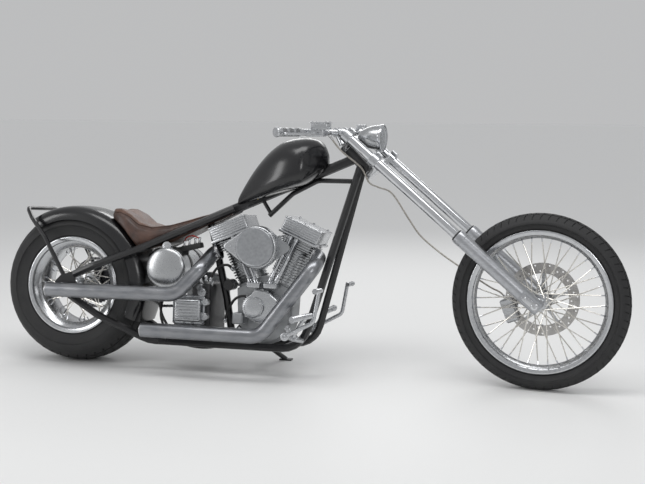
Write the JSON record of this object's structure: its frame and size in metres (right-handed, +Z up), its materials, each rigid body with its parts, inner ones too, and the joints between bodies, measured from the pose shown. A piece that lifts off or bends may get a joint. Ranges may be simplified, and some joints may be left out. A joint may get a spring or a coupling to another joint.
{
  "type": "chopper motorcycle",
  "caption": "Long chopper motorcycle leaning on its side stand: raked fork, rigid black frame, finned V-twin, wire-spoked wheels and a brown leather solo seat.",
  "frame": {"origin": "middle of the bounding box's base, on the ground under the parked machine", "axes": "+X forwards along the machine, +Y to its left, towards which it leans on its side stand, +Z up"},
  "size_m": [2.6386, 0.8704, 1.0442],
  "materials": {
    "braided_line": "braided",
    "brown_leather": "satin",
    "brushed_steel": "brushed",
    "cast_alloy": "satin",
    "chrome": "polished",
    "dark_steel": "dark",
    "gloss_black": "gloss",
    "lens_glass": "clear",
    "polished_alloy": "polished",
    "satin_black": "satin",
    "tyre_rubber": "matte"
  },
  "bodies": {
    "frame": {"air_cleaner": "polished_alloy", "backbone": "satin_black", "cam_cover": "polished_alloy", "carburettor": "cast_alloy", "crankcase": "cast_alloy", "fender_strut": "satin_black", "final_chain": "dark_steel", "front_cylinder": "cast_alloy", "front_exhaust": "brushed_steel", "front_head": "cast_alloy", "front_pushrods": "chrome", "front_rocker_box": "polished_alloy", "fuel_cap": "polished_alloy", "fuel_tank": "satin_black", "left_controls": "polished_alloy", "left_lower_rail": "satin_black", "left_top_rail": "satin_black", "oil_drum": "cast_alloy", "oil_filter": "gloss_black", "oil_pump": "cast_alloy", "primary_drive": "cast_alloy", "rear_axle": "brushed_steel", "rear_caliper": "polished_alloy", "rear_cylinder": "cast_alloy", "rear_exhaust": "brushed_steel", "rear_fender": "gloss_black", "rear_head": "cast_alloy", "rear_pushrods": "chrome", "rear_rocker_box": "polished_alloy", "right_controls": "polished_alloy", "right_lower_rail": "satin_black", "right_top_rail": "satin_black", "seat": "brown_leather", "transmission": "cast_alloy"},
    "fork": {"brake_line": "braided_line", "front_axle": "brushed_steel", "front_caliper": "polished_alloy", "handlebar": "polished_alloy", "headlight": "polished_alloy", "headlight_lens": "lens_glass", "left_bar_controls": "polished_alloy", "left_fork_tube": "chrome", "left_grip": "polished_alloy", "left_slider": "brushed_steel", "lower_tree": "polished_alloy", "right_bar_controls": "polished_alloy", "right_fork_tube": "chrome", "right_grip": "polished_alloy", "right_slider": "brushed_steel", "upper_tree": "polished_alloy"},
    "front_wheel": {"front_disc": "brushed_steel", "front_rim": "polished_alloy", "front_spokes": "brushed_steel", "front_tyre": "tyre_rubber"},
    "rear_wheel": {"rear_rim": "polished_alloy", "rear_spokes": "brushed_steel", "rear_sprocket": "dark_steel", "rear_tyre": "tyre_rubber"},
    "side_stand": {"side_stand": "satin_black"}
  },
  "joints": [
    {"name": "steering", "type": "hinge", "parent": "frame", "child": "fork", "pos_m": [0.2332, -0.01898, 0.88337], "axis": [-0.7071, 0.0862, 0.7018], "range_deg": [-23.2, 36.8]},
    {"name": "front_wheel_spin", "type": "hinge", "parent": "fork", "child": "front_wheel", "pos_m": [0.9735, -0.10165, 0.34668], "axis": [0.0837, 0.9958, -0.0379], "continuous": true},
    {"name": "rear_wheel_spin", "type": "hinge", "parent": "frame", "child": "rear_wheel", "pos_m": [-0.9918, -0.08753, 0.32505], "axis": [0, 0.9925, -0.1219], "continuous": true},
    {"name": "side_stand_hinge", "type": "hinge", "parent": "frame", "child": "side_stand", "pos_m": [-0.21189, 0.03647, 0.08766], "axis": [0.0401, 0.868, 0.4949], "range_deg": [0, 125]}
  ]
}
